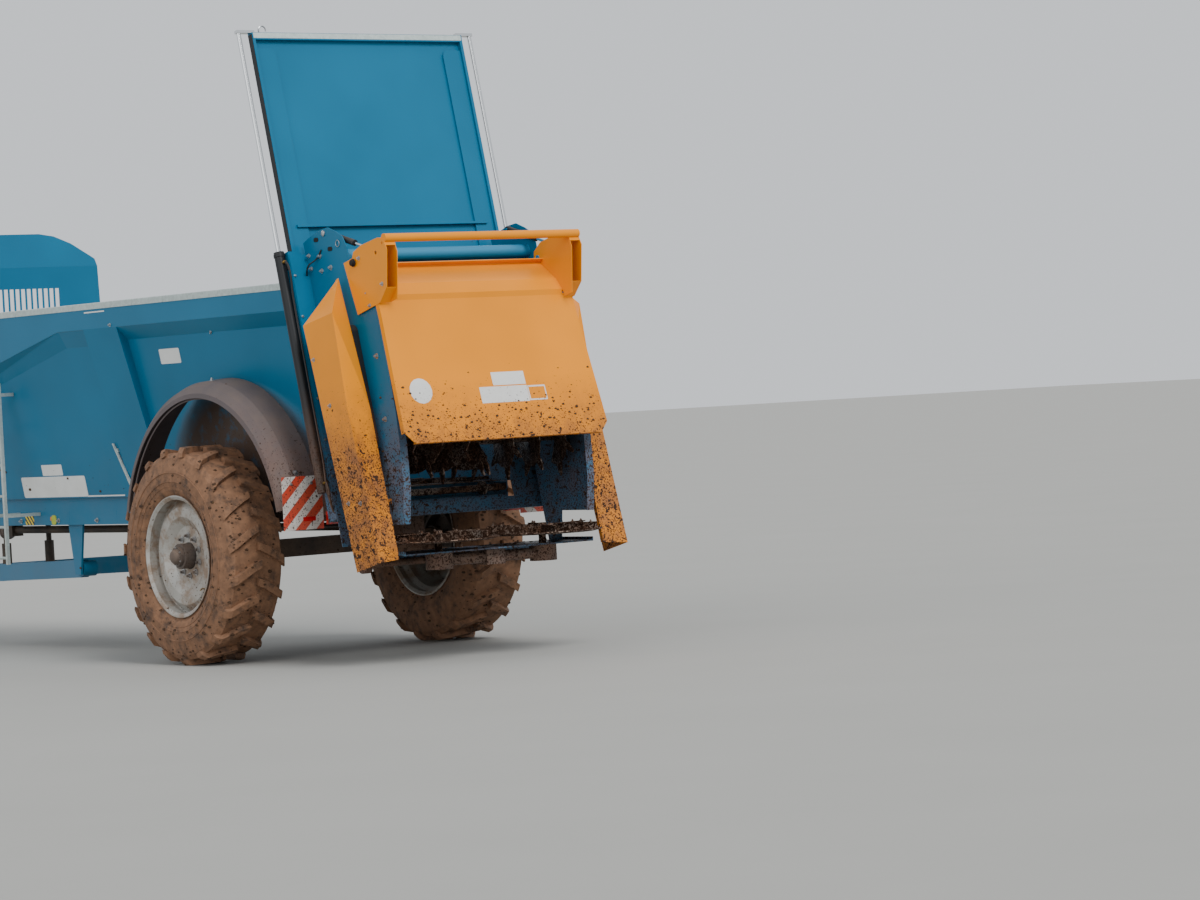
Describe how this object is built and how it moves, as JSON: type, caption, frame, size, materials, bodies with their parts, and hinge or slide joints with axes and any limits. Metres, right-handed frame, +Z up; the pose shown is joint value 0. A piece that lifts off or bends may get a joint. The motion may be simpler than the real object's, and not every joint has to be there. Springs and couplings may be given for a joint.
{
  "type": "rear-discharge manure spreader",
  "caption": "Towed V-body manure spreader with its guillotine door raised and its beater hood down, standing on its parking jack",
  "frame": {"origin": "centre of the footprint of the whole machine, at the ground", "axes": "+Z up; -Y towards the hitch; +X to the machine's left, seen from above with the hitch ahead"},
  "size_m": [3, 10.315, 5.1677],
  "materials": {
    "blue": "gloss paint, road film and dust",
    "orange": "gloss paint, splashed with manure at its lower edge",
    "black": "satin paint",
    "pale": "weathered paint",
    "steel": "worn bare steel",
    "cast": "dusty casting",
    "chrome": "polished rod",
    "galvanised": "galvanised",
    "rim": "silver paint, dusty",
    "tyre": "muddy tread",
    "moulding": "dusty moulded plastic",
    "lens": "red lens",
    "board": "red and white hatching"
  },
  "bodies": {
    "frame": {"floor": "steel", "side_left": "blue", "side_right": "blue", "rail_caps": "pale", "headboard": "blue", "chassis": "blue", "drawbar": "blue", "drawbar_rams": "black", "hitch_ring": "steel", "jack_tube": "blue", "axle": "black", "mudguards": "moulding", "mudguard_stays": "black", "floor_conveyor": "steel", "conveyor_shafts": "steel", "driveline": "black", "rear_frame": "blue", "door_barrels": "black", "cheeks": "blue", "cheek_pins": "blue", "beater_drive": "black", "table": "blue", "disc_drives": "cast", "wings": "orange", "lamp_arms": "black", "tail_lamps": "lens", "marker_boards": "board", "ladder": "galvanised", "side_lever": "galvanised"},
    "jack": {"jack_leg": "galvanised"},
    "wheel_left": {"hub_left": "cast", "rim_left": "rim", "tyre_left": "tyre"},
    "wheel_right": {"hub_right": "cast", "rim_right": "rim", "tyre_right": "tyre"},
    "door": {"door": "blue", "door_rods": "chrome"},
    "hood": {"hood": "orange"},
    "hood_barrel_left": {"hood_barrel_left": "black"},
    "hood_rod_left": {"hood_rod_left": "chrome"},
    "hood_barrel_right": {"hood_barrel_right": "black"},
    "hood_rod_right": {"hood_rod_right": "chrome"},
    "upper_beater": {"upper_beater": "steel"},
    "lower_beater": {"lower_beater": "steel"},
    "disc_left": {"disc_left": "steel"},
    "disc_right": {"disc_right": "steel"}
  },
  "joints": [
    {"name": "jack_slide", "type": "slide", "parent": "frame", "child": "jack", "axis": [0, 0, 1], "range_m": [0, 0.41]},
    {"name": "wheel_left_spin", "type": "hinge", "parent": "frame", "child": "wheel_left", "pos_m": [1.22, 2.2475, 0.905], "axis": [1, 0, 0], "continuous": true},
    {"name": "wheel_right_spin", "type": "hinge", "parent": "frame", "child": "wheel_right", "pos_m": [-1.22, 2.2475, 0.905], "axis": [1, 0, 0], "continuous": true},
    {"name": "door_lift", "type": "slide", "parent": "frame", "child": "door", "axis": [0, -0.2267, 0.974], "range_m": [-1.85, 0]},
    {"name": "hood_open", "type": "hinge", "parent": "frame", "child": "hood", "pos_m": [0, 4.3565, 3.198], "axis": [1, 0, 0], "range_deg": [0, 70]},
    {"name": "hood_barrel_left_turn", "type": "hinge", "parent": "frame", "child": "hood_barrel_left", "pos_m": [0.8905, 3.9075, 3.46], "axis": [1, 0, 0], "range_deg": [0, 21.1]},
    {"name": "hood_rod_left_slide", "type": "slide", "parent": "hood_barrel_left", "child": "hood_rod_left", "axis": [0, 0.9667, -0.256], "range_m": [-0.288, 0]},
    {"name": "hood_barrel_right_turn", "type": "hinge", "parent": "frame", "child": "hood_barrel_right", "pos_m": [-0.8905, 3.9075, 3.46], "axis": [1, 0, 0], "range_deg": [0, 21.1]},
    {"name": "hood_rod_right_slide", "type": "slide", "parent": "hood_barrel_right", "child": "hood_rod_right", "axis": [0, 0.9667, -0.256], "range_m": [-0.288, 0]},
    {"name": "upper_beater_spin", "type": "hinge", "parent": "frame", "child": "upper_beater", "pos_m": [0, 4.2625, 2.64], "axis": [1, 0, 0], "continuous": true},
    {"name": "lower_beater_spin", "type": "hinge", "parent": "frame", "child": "lower_beater", "pos_m": [0, 4.4625, 1.8], "axis": [1, 0, 0], "continuous": true},
    {"name": "disc_left_spin", "type": "hinge", "parent": "frame", "child": "disc_left", "pos_m": [0.51, 4.6675, 0.96], "axis": [0, 0, 1], "continuous": true},
    {"name": "disc_right_spin", "type": "hinge", "parent": "frame", "child": "disc_right", "pos_m": [-0.51, 4.6675, 0.96], "axis": [0, 0, 1], "continuous": true}
  ],
  "couplings": [
    {"joint": "lower_beater_spin", "follows": "upper_beater_spin", "ratio": 1},
    {"joint": "disc_right_spin", "follows": "disc_left_spin", "ratio": -1},
    {"joint": "hood_barrel_left_turn", "follows": "hood_open", "ratio": 0.29412},
    {"joint": "hood_rod_left_slide", "follows": "hood_open", "m_per_rad": -0.23322},
    {"joint": "hood_barrel_right_turn", "follows": "hood_open", "ratio": 0.29412},
    {"joint": "hood_rod_right_slide", "follows": "hood_open", "m_per_rad": -0.23322}
  ]
}
